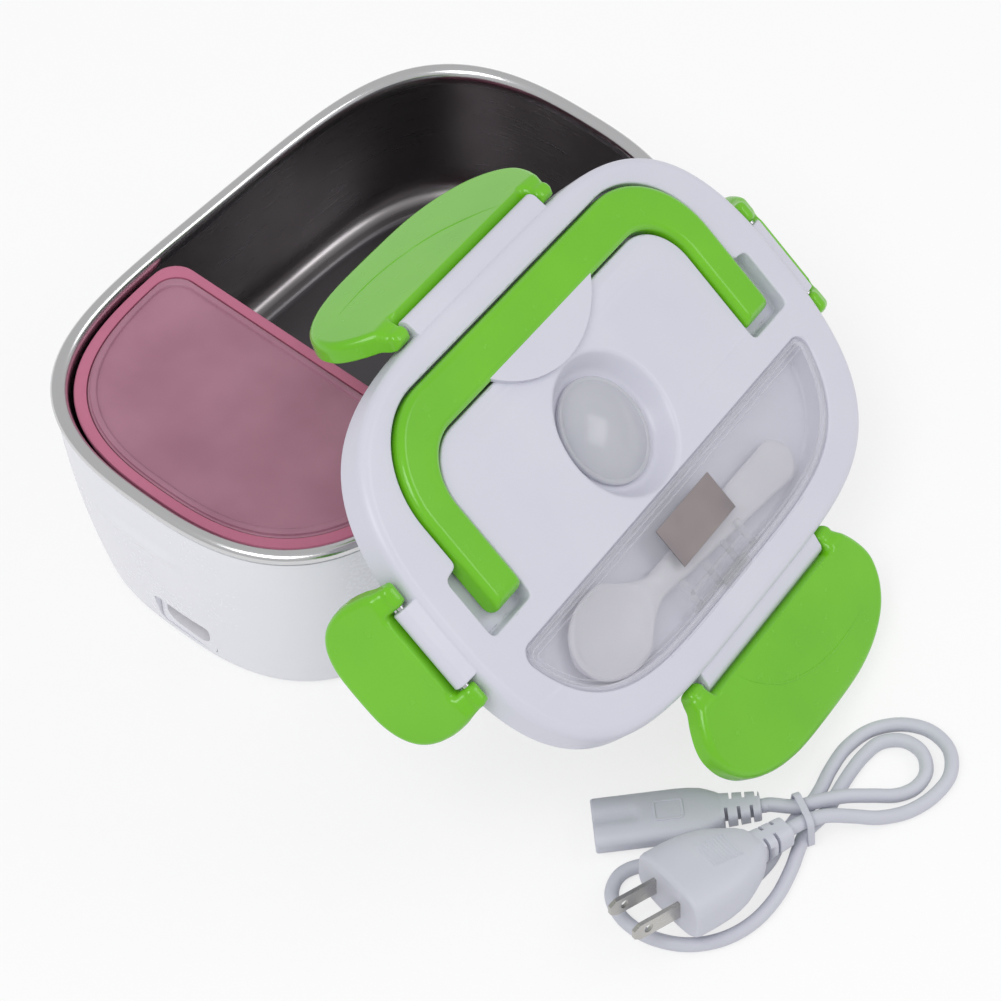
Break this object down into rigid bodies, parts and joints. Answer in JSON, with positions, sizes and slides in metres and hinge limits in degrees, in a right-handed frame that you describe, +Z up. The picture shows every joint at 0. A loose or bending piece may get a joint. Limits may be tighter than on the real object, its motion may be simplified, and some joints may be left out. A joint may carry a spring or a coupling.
{
  "type": "electric lunch box",
  "caption": "Heated lunch box with rolled steel tray, inner food container, latched lid with carry handle, vent and spoon bay leaning on the open base, and a tied mains cord.",
  "frame": {"origin": "centre of the underside of the base, on the table", "axes": "+Z up, X along the long side of the base with the mains inlet on the -X end, +Y away from the leaning lid"},
  "size_m": [0.2553, 0.3178, 0.1454],
  "materials": {
    "white_plastic": "smooth, slightly glossy white",
    "green_plastic": "glossy bright green",
    "steel": "drawn stainless, satin inside and bright on the rolled rim",
    "small_steel": "plain bright pins and screws",
    "pink_plastic": "satin pink",
    "mauve_plastic": "milky see-through mauve",
    "clear_plastic": "clear, thin moulded",
    "frosted_plastic": "frosted, milky clear",
    "spoon_plastic": "smooth off-white",
    "silicone": "matt white",
    "dark_rubber": "matt dark grey",
    "cord_plastic": "soft, satin light grey",
    "wire_plastic": "heat-proof sleeve, off-white",
    "aluminium": "cast, satin",
    "ceramic": "matt, baked",
    "dark_case": "matt black",
    "brass": "plain",
    "foil": "bare satin foil"
  },
  "bodies": {
    "base": {"outer_shell": "white_plastic", "bottom_cover": "white_plastic", "rubber_feet": "dark_rubber", "case_screws": "small_steel", "heating_plate": "aluminium", "heater_element": "ceramic", "heater_clamp": "steel", "thermostat": "dark_case", "thermal_fuse": "ceramic", "inlet_socket": "white_plastic", "inlet_pins": "brass", "wiring": "wire_plastic", "power_cord": "cord_plastic", "cord_tie": "cord_plastic", "cord_connector": "cord_plastic", "connector_contacts": "brass", "plug_body": "cord_plastic", "plug_blades": "small_steel"},
    "tray": {"steel_tray": "steel"},
    "container": {"food_container": "pink_plastic"},
    "container_top": {"container_lid": "mauve_plastic"},
    "lid": {"lid_shell": "white_plastic", "lid_liner": "white_plastic", "lid_seal": "silicone", "spoon": "spoon_plastic", "handle_pins": "small_steel", "latch_pins": "small_steel"},
    "handle": {"carry_handle": "green_plastic"},
    "vent": {"vent_plug": "frosted_plastic"},
    "cover": {"spoon_cover": "clear_plastic", "foil_patch": "foil"},
    "latch_front": {"front_latch": "green_plastic"},
    "latch_back": {"back_latch": "green_plastic"},
    "latch_left": {"left_latch": "green_plastic"},
    "latch_right": {"right_latch": "green_plastic"}
  },
  "joints": [
    {"name": "tray_lift", "type": "slide", "parent": "base", "child": "tray", "axis": [0, 0, 1], "range_m": [0, 0.09]},
    {"name": "lid_lift", "type": "slide", "parent": "tray", "child": "lid", "axis": [0, 0, 1], "range_m": [0, 0.08]},
    {"name": "container_lift", "type": "slide", "parent": "tray", "child": "container", "axis": [0, 0, 1], "range_m": [0, 0.03]},
    {"name": "container_lid_lift", "type": "slide", "parent": "container", "child": "container_top", "axis": [0, 0, 1], "range_m": [0, 0.03]},
    {"name": "handle_swing", "type": "hinge", "parent": "lid", "child": "handle", "pos_m": [0.0027, -0.1106, 0.0871], "axis": [0.9639, 0.1804, -0.1959], "range_deg": [0, 100]},
    {"name": "vent_lift", "type": "slide", "parent": "lid", "child": "vent", "axis": [0.2654, -0.5878, 0.7642], "range_m": [0, 0.004]},
    {"name": "cover_open", "type": "hinge", "parent": "lid", "child": "cover", "pos_m": [0.00359, -0.12674, 0.0766], "axis": [-0.9639, -0.1804, 0.1959], "range_deg": [0, 100]},
    {"name": "front_latch_swing", "type": "hinge", "parent": "lid", "child": "latch_front", "pos_m": [0.00353, -0.1653, 0.04081], "axis": [0.9639, 0.1804, -0.1959], "range_deg": [-65, 80]},
    {"name": "back_latch_swing", "type": "hinge", "parent": "lid", "child": "latch_back", "pos_m": [0.00015, -0.04764, 0.13248], "axis": [-0.9639, -0.1804, 0.1959], "range_deg": [-121, 24]},
    {"name": "left_latch_swing", "type": "hinge", "parent": "lid", "child": "latch_left", "pos_m": [-0.1092, -0.12725, 0.10922], "axis": [0.0227, -0.7886, -0.6145], "range_deg": [-130, 15]},
    {"name": "right_latch_swing", "type": "hinge", "parent": "lid", "child": "latch_right", "pos_m": [0.11288, -0.08569, 0.06407], "axis": [-0.0227, 0.7886, 0.6145], "range_deg": [-115, 20]}
  ]
}
